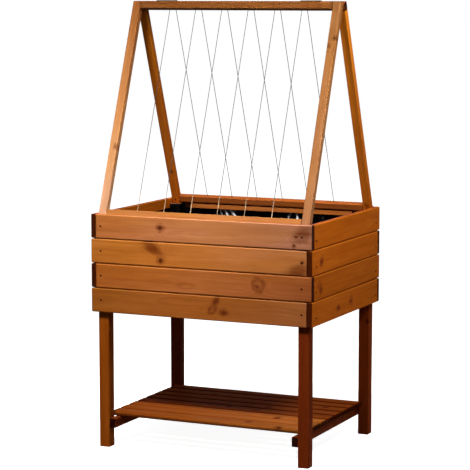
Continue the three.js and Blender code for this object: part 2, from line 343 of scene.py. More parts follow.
def pine(name, ring_width=0.003, roughness=0.5, contrast=1.0, sheen=0.05, side_shade_from=0.65, edge_highlight=0.0):
    material, tree, skin = new_material(name)
    pushes, cores, collars, clouds = 0.0, 0.0, 0.0, 0.0
    for number in range(1, KNOTS_PER_PLANK + 1):
        values = {"Way": read(tree, f"knot_{number}"), "Seed": 3.7 * number}
        knot = use_group(tree, knot_group, values)
        pushes = knot["Push"] + pushes
        cores = knot["Core"].then("MAXIMUM", cores)
        collars = knot["Collar"].then("MAXIMUM", collars)
        clouds = knot["Cloud"].then("MAXIMUM", clouds)
    values = {"Place": read(tree, "grain"), "Push": pushes, "Ring width": ring_width}
    grain = use_group(tree, grain_group, values)
    rings, streaks, fibres = grain["Rings"], grain["Streaks"], grain["Fibres"]

    stain = read(tree, "stain")
    pale = stain * PALE_WOOD
    shade = fibres * 0.16 + (streaks * (0.46 * contrast) + rings * (0.18 * contrast))
    wood = blend(grain["Patches"], pale, stain * GOLDEN_WOOD)
    wood = blend(grain["Mottle"] * (0.8 * contrast), wood, wood * MOTTLED_WOOD)
    wood = blend(shade, wood, stain * LATE_WOOD)
    wood = blend(collars * 0.22, wood, pale)
    wood = blend(clouds * (streaks * 0.5 + 0.62), wood, stain * CLOUDED_WOOD)
    wood = blend(cores, wood, stain * KNOT_WOOD)

    facing = add(tree, "ShaderNodeTexCoord", out="Normal")
    upward = facing.then("DOT_PRODUCT", read(tree, "across"))
    # Painted shade: each narrow side darkens by the amount set for it, for the gaps between planks and the
    # rim.
    wood = blend(abs(upward).ramp(side_shade_from, 1.0), wood, wood * EDGE_SHADE_WOOD)
    # Painted highlight: the eased edges that face up go pale.
    wood = blend(upward.band(0.1, 0.42, 0.72) * edge_highlight, wood, stain * EDGE_HIGHLIGHT_WOOD)
    end_grain = abs(facing.then("DOT_PRODUCT", read(tree, "axis"))).ramp(0.12, 0.7)
    wood = blend(end_grain, wood, stain * END_WOOD)

    plug(skin["Base Color"], wood)
    plug(skin["Roughness"], end_grain * 0.25 + (streaks * 0.12 + roughness))
    plug(skin["Specular IOR Level"], sheen)
    relieve(skin, cores * -1.5 + (rings * 0.5 + fibres), 0.35, 0.0004)
    return material


planed_pine = pine("stained planed pine", roughness=0.74, edge_highlight=0.6)
slat_pine = pine("stained slat pine", roughness=0.85, sheen=0.02, side_shade_from=0.1)
post_pine = pine("dark stained pine", roughness=0.78, contrast=1.2, sheen=0.04)
rough_pine = pine("rough sawn pine", ring_width=0.005, roughness=0.85, contrast=1.3)
print("nodes in a pine material:", len(planed_pine.node_tree.nodes))

# %% [markdown]
# ## Planed timber
#
# All the wood here is one shape in different sizes: a long block whose edges were eased by a
# moulding machine. That is a rule, so Geometry Nodes can make it. A cube of 2 m is cut into a grid
# whose last few rows on each side become the rounding: a row's distance from the edge, counted in
# steps, turns into an angle, and the angle into a direction of the little quarter circle. One extra
# row keeps the flat faces truly flat under smooth shading. A slow noise then bends the block by a
# few tenths of a millimetre, because no plank is straight.

# %% The timber tree
EDGE_STEPS = 3
SUPPORT_WIDTH = 0.001
LONG_STEPS = 14

timber_tree, given, end = new_group(
    "planed timber",
    "GeometryNodeTree",
    [
        ("Size", VECTOR, None),
        ("Ease", FLOAT, 0.004),
        ("Long steps", INTEGER, LONG_STEPS),
        ("Warp", FLOAT, 0.0),
        ("Seed", FLOAT, 0.0),
        ("Material", MATERIAL, None),
    ],
    [("Geometry", GEOMETRY)],
)


def close_tree(shape, given, end, smooth=True):
    """Ends a tree with real geometry that has its material."""
    if smooth:
        shape = add(shape.tree, "GeometryNodeSetShadeSmooth", {0: shape})
    real = add(shape.tree, "GeometryNodeRealizeInstances", {0: shape})
    values = {"Geometry": real, "Material": given["Material"]}
    plug(end[0], add(shape.tree, "GeometryNodeSetMaterial", values))


edge_rows = 2 * (EDGE_STEPS + 1)
long_rows = given["Long steps"] + float(edge_rows)
cube_inputs = {
    "Size": (2.0, 2.0, 2.0),
    "Vertices X": long_rows + 1.0,
    "Vertices Y": edge_rows + 2,
    "Vertices Z": edge_rows + 2,
}
cube = add(timber_tree, "GeometryNodeMeshCube", cube_inputs, "Mesh")
start = add(timber_tree, "GeometryNodeInputPosition")
outward = abs(start)
rows = combine(timber_tree, long_rows, edge_rows + 1.0, edge_rows + 1.0)
from_edge = (1.0 - outward) * (rows * 0.5)
round_share = ((EDGE_STEPS - from_edge) * (1 / EDGE_STEPS)).then("MAXIMUM", 0.0)
rounding = (round_share * (math.pi / 4)).then("TANGENT").then("NORMALIZE") * given["Ease"]
inner = given["Size"] * 0.5 - given["Ease"] - SUPPORT_WIDTH
flat = (outward / ((rows - edge_rows) / rows)).then("MINIMUM", 1.0) * inner
support = ((EDGE_STEPS + 1.0) - from_edge).then("MINIMUM", 1.0).then("MAXIMUM", 0.0) * SUPPORT_WIDTH
shaped = start.then("SIGN") * (flat + support + rounding)
noise_inputs = {"Vector": shaped, "W": given["Seed"], "Scale": 4.0, "Detail": 1.0}
bend = add(timber_tree, "ShaderNodeTexNoise", noise_inputs, "Color", noise_dimensions="4D") - 0.5
bend = bend * combine(timber_tree, 0.0, given["Warp"], given["Warp"])
moved_inputs = {"Geometry": cube, "Position": shaped + bend}
close_tree(add(timber_tree, "GeometryNodeSetPosition", moved_inputs), given, end)
print("timber tree nodes:", len(timber_tree.nodes))


# %% [markdown]
# A tree runs as a modifier on an empty mesh. Its inputs are set through their identifiers, the
# result is copied into a plain mesh, and the modifier goes.


# %% Run a tree once
def bake_modifiers(piece):
    """Turns what the modifiers show into the piece's own mesh."""
    evaluated = piece.evaluated_get(bpy.context.evaluated_depsgraph_get())
    mesh = bpy.data.meshes.new_from_object(evaluated)
    piece.modifiers.clear()
    piece.data = mesh
    mesh.name = piece.name


def new_object(name, mesh):
    made = bpy.data.objects.new(name, mesh)
    scene.collection.objects.link(made)
    return made


def grown(tree, name, mesh=None, **inputs):
    """A plain mesh object made by one run of a Geometry Nodes tree."""
    piece = new_object(name, bpy.data.meshes.new(name) if mesh is None else mesh)
    modifier = piece.modifiers.new("grow", "NODES")
    modifier.node_group = tree
    for socket in tree.interface.items_tree:
        if socket.in_out == "INPUT" and socket.name in inputs:
            modifier[socket.identifier] = inputs[socket.name]
    bake_modifiers(piece)
    return piece


def timber(name, centre, size, along, across, material, ease, warp=0.0, seed=0.0):
    """A planed block in its place, turned by its own directions."""
    piece = grown(timber_tree, name, Size=size, Ease=ease, Warp=warp, Seed=seed, Material=material)
    turn = Matrix([along, across, along.cross(across)]).transposed().to_4x4()
    piece.data.transform(Matrix.Translation(centre) @ turn)
    return piece


# %% [markdown]
# ## Screw holes
#
# The boards are held by countersunk screws whose heads sit a little below the face. A hole is cut
# for each with a Boolean, from one cone-shaped cutter per screw. The list of screws is worked out
# once, from the posts and boards of the frame, and is used again for the heads.

# %% Where the screws are
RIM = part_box("board_front_1")[1].z
COURSES = 4
SIDE_SCREW_DROP = 0.014
HEAD_RADIUS = 0.0034
HEAD_SINK = 0.0009
X, Y, Z = Vector((1, 0, 0)), Vector((0, 1, 0)), Vector((0, 0, 1))


def middle(node):
    low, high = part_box(node)
    return (low + high) / 2


half_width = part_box("board_right_2")[1].x
half_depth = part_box("board_rear_1")[1].y
post_middle = middle("post_rear_right")
board_screws = []
for course in range(1, COURSES + 1):
    height = middle(f"board_front_{course}").z
    for x in (-1, 1):
        for y in (-1, 1):
            board_screws.append((Vector((x * post_middle.x, y * half_depth, height)), Y * y))
            on_side = Vector((x * half_width, y * post_middle.y, height - SIDE_SCREW_DROP))
            board_screws.append((on_side, X * x))
print("screws in the boards:", len(board_screws))


# %% Cutting the holes
def lathe(name, profile, sides):
    """A closed shape turned about Z from (radius, height) pairs, from the bottom to the top."""
    mesh = bmesh.new()
    turn = [2 * math.pi * i / sides for i in range(sides)]
    rings = []
    for radius, height in profile:
        angles = turn if radius else [0]
        rings.append([mesh.verts.new((radius * math.cos(a), radius * math.sin(a), height)) for a in angles])
    for below, above in zip(rings, rings[1:]):
        for i in range(sides):
            j = (i + 1) % sides
            if len(below) == 1:
                mesh.faces.new((below[0], above[j], above[i]))
            elif len(above) == 1:
                mesh.faces.new((below[i], below[j], above[0]))
            else:
                mesh.faces.new((below[i], below[j], above[j], above[i]))
    data = bpy.data.meshes.new(name)
    mesh.to_mesh(data)
    mesh.free()
    return data


HOLE_DEPTH, CONE_DEPTH, PILOT_RADIUS = 0.006, 0.0042, 0.0018
hole_profile = [
    (0, -HOLE_DEPTH),
    (PILOT_RADIUS, -HOLE_DEPTH),
    (PILOT_RADIUS, -CONE_DEPTH),
    (HEAD_RADIUS + 0.0004, -HEAD_SINK),
    (HEAD_RADIUS + 0.0005, 0.001),
    (0, 0.001),
]
hole_mesh = lathe("screw hole", hole_profile, 16)
SHARP_ANGLE = math.radians(40)


def stood_up(place, outward):
    """The matrix that puts a shape made along +Z at a place, with its top facing outward."""
    return Matrix.Translation(place) @ outward.to_track_quat("Z", "Y").to_matrix().to_4x4()


def cut_with(piece, cutters, **options):
    """Cuts a piece with a Boolean."""
    data = bpy.data.meshes.new("cutters")
    cutters.to_mesh(data)
    cutters.free()
    tool = new_object("cutters", data)
    boolean = piece.modifiers.new("cut", "BOOLEAN")
    boolean.object = tool
    for key, value in options.items():
        setattr(boolean, key, value)
    bake_modifiers(piece)
    bpy.data.objects.remove(tool)


def drill(piece, screws, material):
    """Cuts the holes of all the screws whose head lies on this piece."""
    corners = np.array([corner[:] for corner in piece.bound_box])
    low, high = corners.min(axis=0) - 0.001, corners.max(axis=0) + 0.001
    cutters = bmesh.new()
    for place, outward in screws:
        if (np.array(place) >= low).all() and (np.array(place) <= high).all():
            cut = hole_mesh.copy()
            cut.transform(stood_up(place, outward))
            cutters.from_mesh(cut)
            bpy.data.meshes.remove(cut)
    if cutters.verts:
        cut_with(piece, cutters, solver="EXACT")
        piece.data.materials.clear()
        piece.data.materials.append(material)
        piece.data.polygons.foreach_set("material_index", [0] * len(piece.data.polygons))
        piece.data.set_sharp_from_angle(angle=SHARP_ANGLE)


# %% [markdown]
# ## Marking the wood
#
# Once a plank has its place and its holes, its vertices get the attributes that the material reads.
# They are all worked out from the place alone, so a cut or a hole never disturbs them. The random
# numbers come from one seeded generator, in the order in which the planks are made.

# %% Marking
chance = random.Random(7)
NO_KNOT = (1000.0, 1000.0, 0.0)


def set_vectors(mesh, name, values):
    layer = mesh.attributes.new(name, "FLOAT_VECTOR", "POINT")
    layer.data.foreach_set("vector", np.ascontiguousarray(values, dtype=np.float32).ravel())


class Knot:
    """A knot: its place along and across the plank from the middle, its radius and its looks."""

    def __init__(self, along, across, radius, strength=1.0, stretch=1.3, turn=0.0):
        self.along = along
        self.across = across
        self.radii = (radius * stretch, radius)
        self.strength = strength
        self.turn = math.radians(turn)

    def way(self, local):
        x, y = local[:, 0] - self.along, local[:, 1] - self.across
        turned_x = x * math.cos(self.turn) + y * math.sin(self.turn)
        turned_y = y * math.cos(self.turn) - x * math.sin(self.turn)
        strength = np.full(len(local), self.strength)
        return np.stack([turned_x / self.radii[0], turned_y / self.radii[1], strength], axis=1)


def mark_wood(piece, centre, along, across, stain, knots=(), sides=(0.0, 0.0)):
    """Gives a plank its grain directions, stain and knots.

    A stain is one colour, or several that follow each other along the plank. The two sides set the painted
    shade on the narrow side below and on the one above, from 0 to 1.
    """
    mesh = piece.data
    points = np.empty(len(mesh.vertices) * 3, np.float32)
    mesh.vertices.foreach_get("co", points)
    points = points.reshape(-1, 3) - np.array(centre)
    local = points @ np.array([along[:], across[:], along.cross(across)[:]]).T
    pith = (chance.uniform(0, 40), chance.uniform(-0.03, 0.03), chance.uniform(0.03, 0.09))
    set_vectors(mesh, "grain", local + np.array(pith))
    set_vectors(mesh, "axis", np.tile(along[:], (len(points), 1)))
    # The across attribute holds each narrow side's painted shade together with its direction.
    side_shade = np.where(local[:, 1:2] < 0, sides[0], sides[1])
    set_vectors(mesh, "across", side_shade * np.array(across))
    stains = np.array([stain[:3]] if isinstance(stain[0], float) else [one[:3] for one in stain])
    stops = np.linspace(local[:, 0].min(), local[:, 0].max(), len(stains))
    mixed = [np.interp(local[:, 0], stops, stains[:, channel]) for channel in range(3)]
    set_vectors(mesh, "stain", np.stack(mixed, axis=1))
    for number in range(KNOTS_PER_PLANK):
        way = knots[number].way(local) if number < len(knots) else np.tile(NO_KNOT, (len(points), 1))
        set_vectors(mesh, f"knot_{number + 1}", way)


def random_knots(length, width, most, smallest=0.004, largest=0.007):
    """A few knots spread at random over a plank."""
    knots = []
    for _ in range(chance.randint(0, most)):
        along = chance.uniform(-0.45, 0.45) * length
        across = chance.uniform(-0.4, 0.4) * width
        radius = chance.uniform(smallest, largest)
        turn = chance.uniform(-30, 30)
        knots.append(Knot(along, across, radius, chance.uniform(0.45, 1.0), 1.3, turn))
    return knots


def tinted(stain, *factors):
    """A stain multiplied by one factor, or by one for each channel."""
    each = factors * 3 if len(factors) == 1 else factors
    return tuple(channel * factor for channel, factor in zip(stain, each))


# %% [markdown]
# A plank stands for one timber of the frame whose edges run along the row's axes. The boards of the
# lower courses also get a tongue on their top edge, which reaches up behind the board above, so the
# gaps between the courses show wood and no daylight.

# %% Planks
TONGUE_HEIGHT, TONGUE_THICKNESS, TONGUE_SETBACK, TONGUE_ROOT = 0.010, 0.006, 0.012, 0.004
TONGUE_EASE = 0.0008
PLANK_WARP, BATTEN_WARP, LATH_WARP = 0.0008, 0.0006, 0.0004


def fit(piece, node, body):
    """The piece takes the node's place on its body."""
    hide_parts(node)
    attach(piece, body)


def add_tongue(piece, node, along, material):
    low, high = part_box(node)
    size = (abs((high - low).dot(along)) - 2 * TONGUE_SETBACK, TONGUE_HEIGHT, TONGUE_THICKNESS)
    place = (low + high) / 2
    place.z = high.z + TONGUE_HEIGHT / 2 - TONGUE_ROOT
    tongue = timber("tongue", place, size, along, Z, material, TONGUE_EASE)
    both = bmesh.new()
    both.from_mesh(piece.data)
    both.from_mesh(tongue.data)
    both.to_mesh(piece.data)
    both.free()
    bpy.data.objects.remove(tongue)


def plank(node, along, across, material, ease, stain, knots=(), screws=(), sides=(0.0, 0.0)):
    low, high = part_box(node)
    centre = (low + high) / 2
    extents = [abs((high - low).dot(way)) for way in (along, across, along.cross(across))]
    seed = chance.uniform(0, 100)
    piece = timber(node + "_wood", centre, extents, along, across, material, ease, PLANK_WARP, seed)
    drill(piece, screws, material)
    if node.startswith("board_") and not node.endswith("_1"):
        add_tongue(piece, node, along, material)
    mark_wood(piece, centre, along, across, stain, knots, sides)
    fit(piece, node, "planter")


# %% [markdown]
# ## The box
#
# Sixteen boards in four courses. The four in front are the ones that the eye goes to, so their stains and
# knots are listed: three stops of stain along each, and each knot by its place in the row, across and up.
# The others draw theirs.

# %% Boards
BOARD_EASE = 0.004
AMBER = srgb(177, 91, 13)
# Painted light in the front stains: they are paler and bluer than the amber ends, a painted sheen, and
# darker course by course towards the bottom, painted shade for the key light falling off.
front_stains_and_sheen = {
    1: (srgb(172, 102, 49), srgb(176, 114, 76), srgb(154, 102, 76)),
    2: (srgb(174, 104, 40), srgb(170, 102, 44), srgb(160, 101, 60)),
    3: (srgb(161, 90, 35), srgb(161, 94, 46), srgb(134, 73, 32)),
    4: (srgb(144, 82, 26), srgb(144, 81, 32), srgb(142, 85, 44)),
}
BOARD_SIDE_SHADE, RIM_SIDE_SHADE, END_RIM_SIDE_SHADE = (0.85, 0.85), (0.85, 0.78), (0.85, 0.87)
end_shades = {1: 1.02, 2: 1.05, 3: 0.90, 4: 0.97}
set_knots = {
    ("front", 1): [
        Knot(-0.150, 0.808, 0.0068, 1.0, 1.1),
        Knot(0.366, 0.803, 0.0045, 0.9, 1.5),
        Knot(0.358, 0.773, 0.0042, 1.0, 1.1),
        Knot(0.392, 0.812, 0.0115, 0.5, 1.6, 20),
    ],
    ("front", 2): [
        Knot(-0.186, 0.742, 0.0090, 0.5, 2.4, -35),
        Knot(-0.148, 0.6935, 0.0078, 1.0, 0.9),
        Knot(0.389, 0.717, 0.0032, 0.9, 1.4),
        Knot(0.374, 0.688, 0.0090, 0.5, 2.2, 8),
    ],
    ("front", 3): [
        Knot(0.225, 0.630, 0.0105, 0.38, 1.0, 30),
        Knot(0.222, 0.624, 0.0035, 0.65, 1.8, -20),
        Knot(-0.05, 0.610, 0.0050, 0.2, 3.0),
    ],
    ("front", 4): [
        Knot(0.066, 0.566, 0.0050, 0.6, 2.0, 60),
        Knot(0.096, 0.525, 0.0055, 0.7, 1.4),
        Knot(0.052, 0.535, 0.0060, 0.4, 1.6, 50),
    ],
    ("right", 2): [Knot(-0.240, 0.711, 0.0070, 0.75, 1.2, 60)],
    ("right", 3): [Knot(-0.257, 0.632, 0.0060, 0.4, 1.2), Knot(-0.244, 0.615, 0.0070, 0.6, 1.0)],
}
for course in range(1, COURSES + 1):
    for name, along in (("front", X), ("rear", X), ("left", Y), ("right", Y)):
        node = f"board_{name}_{course}"
        centre = middle(node)
        knots = set_knots.get((name, course))
        if knots:
            for knot in knots:
                knot.along -= centre.dot(along)
                knot.across -= centre.z
        else:
            knots = random_knots(0.8, 0.086, 3)
        stain = front_stains_and_sheen[course] if name == "front" else tinted(AMBER, end_shades[course])
        # Painted shade on the narrow sides: the gaps between the courses and the top of the rim.
        rim_side_shade = RIM_SIDE_SHADE if along == X else END_RIM_SIDE_SHADE
        sides = rim_side_shade if course == 1 else BOARD_SIDE_SHADE
        plank(node, along, Z, planed_pine, BOARD_EASE, stain, knots, board_screws, sides)
print("boards:", 4 * COURSES)

# %% [markdown]
# Inside the rear board a lath clamps the film, nailed on just above the film's edge. It is thin trim
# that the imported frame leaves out, so it is made here, on a place of its own.

# %% Film lath
LATH_SIZE = Vector((0.660, 0.018, 0.018))
LATH_MIDDLE = Vector((0, 0.2975, 0.818))
LATH_NAIL_PLACES = (-0.31, -0.047, 0.267)
LATH_EASE, LATH_SEED = 0.0015, 4.0
lath = timber("film_lath", LATH_MIDDLE, LATH_SIZE, X, Y, planed_pine, LATH_EASE, LATH_WARP, LATH_SEED)
mark_wood(lath, LATH_MIDDLE, X, Z, srgb(150, 86, 39))
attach(lath, "planter")
print("lath:", [round(v, 3) for v in LATH_SIZE], "m")

# %% [markdown]
# ## Posts, shelf and floor
#
# The posts took the stain darker than the boards, each a little differently. The shelf is eight
# slats across two bearers, with wide round edges, and the floor of the box is a panel on two
# battens, which shows only from below.

# %% Posts, shelf and floor
POST_STAIN = srgb(116, 49, 13)
SLAT_STAIN = srgb(134, 66, 22)
POST_EASE, SLAT_EASE, FLOOR_EASE = 0.003, 0.0085, 0.002
post_shades = {
    ("front", "left"): (1.42, 1.9, 0.75),
    ("front", "right"): (0.75, 0.62, 0.4),
    ("rear", "left"): (0.90, 0.80, 0.8),
    ("rear", "right"): (1.05, 1.0, 0.9),
}
for (end_name, side_name), shade in post_shades.items():
    knots = random_knots(0.8, 0.04, 2, 0.003, 0.005)
    stain = tinted(POST_STAIN, *shade)
    plank(f"post_{end_name}_{side_name}", Z, X, post_pine, POST_EASE, stain, knots)
for side_name in ("left", "right"):
    plank(f"shelf_bearer_{side_name}", Y, Z, post_pine, POST_EASE, tinted(POST_STAIN, 0.8))

slat_knots = {
    1: [Knot(0.145, 0.008, 0.005, 0.5), Knot(0.276, -0.024, 0.005, 0.9)],
    6: [Knot(0.300, 0.010, 0.005, 0.8)],
}
# Painted light and shade: the three front slats lie in the key light and the five behind in the box's
# shadow, so each group has its own stain scale and stops, and the gaps between the shaded slats get deeper
# painted shade.
lit_slat_shades = {1: 0.84, 2: 0.96, 3: 1.12}
SHADOWED_SLAT_SHADE = 1.08
LIT_SLAT_STOPS = ((0.94, 0.94, 0.7), (1.0, 1.18, 1.1), (1.02, 1.36, 1.5))
SHADOWED_SLAT_STOPS = ((1.05, 1.0, 0.9), (1.1, 1.05, 0.85), (1.2, 1.18, 0.85))
OUTER_SIDE_SHADE, LIT_GAP_SHADE, SHADOWED_GAP_SHADE = 0.3, 0.75, 1.3
SLATS = 8
for number in range(1, SLATS + 1):
    in_key_light = number in lit_slat_shades
    knots = slat_knots.get(number, random_knots(0.78, 0.056, 1))
    shade = lit_slat_shades.get(number, SHADOWED_SLAT_SHADE) * chance.uniform(0.96, 1.04)
    slat_stain = tinted(SLAT_STAIN, shade)
    stain = [tinted(slat_stain, *stop) for stop in (LIT_SLAT_STOPS if in_key_light else SHADOWED_SLAT_STOPS)]
    gap_shade = LIT_GAP_SHADE if in_key_light else SHADOWED_GAP_SHADE
    sides = (OUTER_SIDE_SHADE if number == 1 else gap_shade, OUTER_SIDE_SHADE if number == SLATS else gap_shade)
    plank(f"shelf_slat_{number}", X, Y, slat_pine, SLAT_EASE, stain, knots, (), sides)
for end_name in ("front", "rear"):
    plank(f"floor_batten_{end_name}", X, Z, rough_pine, FLOOR_EASE, srgb(150, 92, 48))
print("posts, bearers, slats and battens done")

# %% [markdown]
# ## The trellis
#
# Each frame leans on the other. Its own directions are X and the slope, which is read from the
# frame: from the middle of the bottom rail to the middle of the top bar. The legs are cut level
# where they stand on the posts and upright where they meet the boards, by two planes, and the cut
# faces show end grain.

# %% Trellis frames
BATTEN_WIDTH = 0.030
BATTEN_DEPTH = 0.024
TOP_BAR_HEIGHT = 0.028
RAIL_HEIGHT = 0.024
BATTEN_EASE = 0.0025
BAR_CLEARANCE = 0.0003
CROSSPIECES = (("top_bar", TOP_BAR_HEIGHT), ("rail", RAIL_HEIGHT))
ENDS = (("front", -1), ("rear", 1))
SIDES = (("left", -1), ("right", 1))


def sliced(piece, place, outward):
    """Cuts a piece off at a plane and closes the cut."""
    mesh = bmesh.new()
    mesh.from_mesh(piece.data)
    everything = mesh.verts[:] + mesh.edges[:] + mesh.faces[:]
    result = bmesh.ops.bisect_plane(
        mesh, geom=everything, plane_co=place, plane_no=outward, clear_outer=True, dist=1e-6
    )
    rim = [item for item in result["geom_cut"] if isinstance(item, bmesh.types.BMEdge)]
    filled = bmesh.ops.contextual_create(mesh, geom=rim)
    for face in filled["faces"]:
        face.smooth = False
        for edge in face.edges:
            edge.smooth = False
    bmesh.ops.recalc_face_normals(mesh, faces=mesh.faces)
    mesh.to_mesh(piece.data)
    mesh.free()


def batten(node, body, centre, size, along, across):
    """A timber of the trellis. Its place is given, because its edges don't follow the row's axes."""
    seed = chance.uniform(0, 100)
    name = node + "_wood"
    piece = timber(name, centre, size, along, across, planed_pine, BATTEN_EASE, BATTEN_WARP, seed)
    fit(piece, node, body)
    return piece


# The front legs' stops run from pale at the foot to darker at the top: stain, with painted shade for the
# key light falling off up the trellis.
leg_stains_and_shade = {
    ("front", "left"): (srgb(200, 154, 126), srgb(182, 126, 86), srgb(146, 88, 44)),
    ("front", "right"): (srgb(148, 101, 66), srgb(146, 98, 58), srgb(137, 90, 48)),
    ("rear", "left"): (srgb(190, 98, 20), srgb(190, 104, 28), srgb(198, 116, 30)),
    ("rear", "right"): (srgb(178, 94, 18), srgb(186, 104, 28), srgb(204, 120, 34)),
}
cross_stains = {
    "front": (srgb(120, 71, 32), srgb(164, 106, 60)),
    "rear": (srgb(126, 64, 22), srgb(150, 80, 34)),
}
leans = {}
for end_name, side in ENDS:
    body = f"trellis_{end_name}"
    bar_middle = middle(f"trellis_top_bar_{end_name}")
    rail_middle = middle(f"trellis_rail_{end_name}")
    slope = (bar_middle - rail_middle).normalized()
    outward = Vector((0, side * slope.z, -side * slope.y))
    bar_top = bar_middle + slope * (TOP_BAR_HEIGHT / 2)
    leans[end_name] = (slope, outward, rail_middle, bar_middle, bar_top)
    for (kind, height), stain in zip(CROSSPIECES, cross_stains[end_name]):
        node = f"trellis_{kind}_{end_name}"
        low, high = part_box(node)
        size = (high.x - low.x, height, BATTEN_DEPTH)
        piece = batten(node, body, middle(node), size, X, slope)
        knots = random_knots(size[0], height, 1, 0.003, 0.004)
        mark_wood(piece, middle(node), X, slope, stain, knots)
    for side_name, _ in SIDES:
        node = f"trellis_leg_{end_name}_{side_name}"
        low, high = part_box(node)
        top = bar_top if end_name == "front" else bar_top - slope * (TOP_BAR_HEIGHT + BAR_CLEARANCE)
        bottom = top - slope * ((top.z - low.z) / slope.z + BATTEN_DEPTH)
        centre = (top + bottom) / 2
        centre.x = (low.x + high.x) / 2
        size = ((top - bottom).length, BATTEN_WIDTH, BATTEN_DEPTH)
        piece = batten(node, body, centre, size, slope, X)
        sliced(piece, low, -Z)
        sliced(piece, Vector((0, low.y if side < 0 else high.y, 0)), Y * side)
        knots = random_knots(size[0], BATTEN_WIDTH, 2, 0.003, 0.005)
        mark_wood(piece, centre, slope, X, leg_stains_and_shade[end_name, side_name], knots)
print("lean of the front frame:", round(math.degrees(math.asin(leans["front"][0].y)), 2), "degrees")

# %% [markdown]
# ## Cords
#
# Six cords in each frame, pulled straight from the top bar to the rail. They are laid cord: strands
# twisted round each other. A ring with three soft lobes follows the line of the cord and turns as
# it goes, so the twist is real and catches the light, at a few thousand faces a cord.

# %% The cord tree
CORD_DIAMETER = 0.0024
CORD_LAY = 0.008
LOBES = 3
LOBE_DEPTH = 0.10

cord_tree, given, end = new_group(
    "laid cord",
    "GeometryNodeTree",
    [
        ("Top", VECTOR, None),
        ("Foot", VECTOR, None),
        ("Diameter", FLOAT, CORD_DIAMETER),
        ("Lay", FLOAT, CORD_LAY),
        ("Rings", INTEGER, 400),
        ("Sides", INTEGER, 12),
        ("Material", MATERIAL, None),
    ],
    [("Geometry", GEOMETRY)],
)
ends = {"Start": given["Top"], "End": given["Foot"]}
line = add(cord_tree, "GeometryNodeCurvePrimitiveLine", ends)
fine = add(cord_tree, "GeometryNodeResampleCurve", {"Curve": line, "Count": given["Rings"]})
gone = add(cord_tree, "GeometryNodeSplineParameter", out="Length")
tilt = gone / given["Lay"] * (2 * math.pi)
twisted = add(cord_tree, "GeometryNodeSetCurveTilt", {0: fine, "Tilt": tilt})
circle = {"Resolution": given["Sides"], "Radius": 1.0}
ring = add(cord_tree, "GeometryNodeCurvePrimitiveCircle", circle)
ring_place = add(cord_tree, "GeometryNodeInputPosition")
ring_x, ring_y, _ = ring_place.parts()
lobe = (ring_y.then("ARCTAN2", ring_x) * float(LOBES)).then("COSINE")
radius = (lobe * LOBE_DEPTH + (1.0 - LOBE_DEPTH)) * (given["Diameter"] * 0.5)
lobed_inputs = {"Geometry": ring, "Position": ring_place * radius}
lobed = add(cord_tree, "GeometryNodeSetPosition", lobed_inputs)
swept_inputs = {"Curve": twisted, "Profile Curve": lobed, "Fill Caps": True}
close_tree(add(cord_tree, "GeometryNodeCurveToMesh", swept_inputs), given, end)
print("cord tree nodes:", len(cord_tree.nodes))

# %% [markdown]
# The fibre is unbleached and slightly hairy, and rough all over. Its colour varies slowly along the cord,
# in the row's own coordinates. The front cords are paler low down and darker above: painted light and
# shade.

# %% Cord material
LIT_BELOW, SHADED_ABOVE = 0.895, 0.94


def fibre(name, light, dark, low):
    material, tree, skin = new_material(name)
    place = row_place(tree)
    tone_and_light = blend(place.noise(60.0, 3.0), light, dark)
    # Painted light and shade: the cord's colour is paler below and darker above.
    tone_and_light = blend(place.parts()[2].ramp(LIT_BELOW, SHADED_ABOVE), low, tone_and_light)
    plug(skin["Base Color"], tone_and_light)
    plug(skin["Roughness"], 0.9)
    plug(skin["Specular IOR Level"], 0.1)
    relieve(skin, place.noise(2500.0, 2.0), 0.4, 0.0002)
    return material


cord_fibres = {
    "front": fibre("front cord", srgb(88, 84, 78), srgb(58, 55, 50), srgb(186, 160, 128)),
    "rear": fibre("rear cord", srgb(64, 62, 58), srgb(40, 38, 36), srgb(70, 66, 60)),
}
print("cord materials:", len(cord_fibres))

# %% [markdown]
# A cord runs from the middle of its end on the bar to the middle of its end on the rail. Both ends sit in
# the wood of one frame, so the cord is taut, with a straight path.

# %% Cords
CORDS_PER_FRAME = 6
for end_name, side in ENDS:
    slope = leans[end_name][0]
    half = CORD_DIAMETER / 2
    across_y, across_z = half * slope.z, half * abs(slope.y)
    for number in range(1, CORDS_PER_FRAME + 1):
        node = f"cord_{end_name}_{number}"
        low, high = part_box(node)
        x = (low.x + high.x) / 2
        inner_y, outer_y = high.y - across_y, low.y + across_y
        if side > 0:
            inner_y, outer_y = outer_y, inner_y
        top = Vector((x, inner_y, high.z - across_z))
        foot = Vector((x, outer_y, low.z + across_z))
        piece = grown(cord_tree, node + "_laid", Top=top, Foot=foot, Material=cord_fibres[end_name])
        fit(piece, node, f"trellis_{end_name}")
        (top - foot).length
print("cord length:", round((top - foot).length, 4), "m")

# %% [markdown]
# ## The film
#
# The box is lined with one sheet of black film. It stands against the boards, steps round the
# posts, is pulled up and folded over their tops, and lies on the floor. It is modelled as one
# surface with a column for each step round the box and a row for each step up: floor, wall and
# fold. Crumpled film is made of flat facets between sharp creases, which the distance to scattered
# points gives: each point pulls up its own facet, and a crease runs where two meet.

# %% The film's plan
FILM_BELOW_RIM = 0.038
FILM_THICKNESS = 0.0004
COLUMN_STEP = 0.005
CONVEX_RADIUS, CONCAVE_RADIUS = 0.004, 0.016
BOARD_CLEARANCE, POST_CLEARANCE = 0.0008, 0.0012
liner_low, liner_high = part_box("liner")
wall_x, wall_y = liner_high.x - BOARD_CLEARANCE, liner_high.y - BOARD_CLEARANCE
post_low, post_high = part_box("post_rear_right")
post_x, post_y = post_low.x - POST_CLEARANCE, post_low.y - POST_CLEARANCE


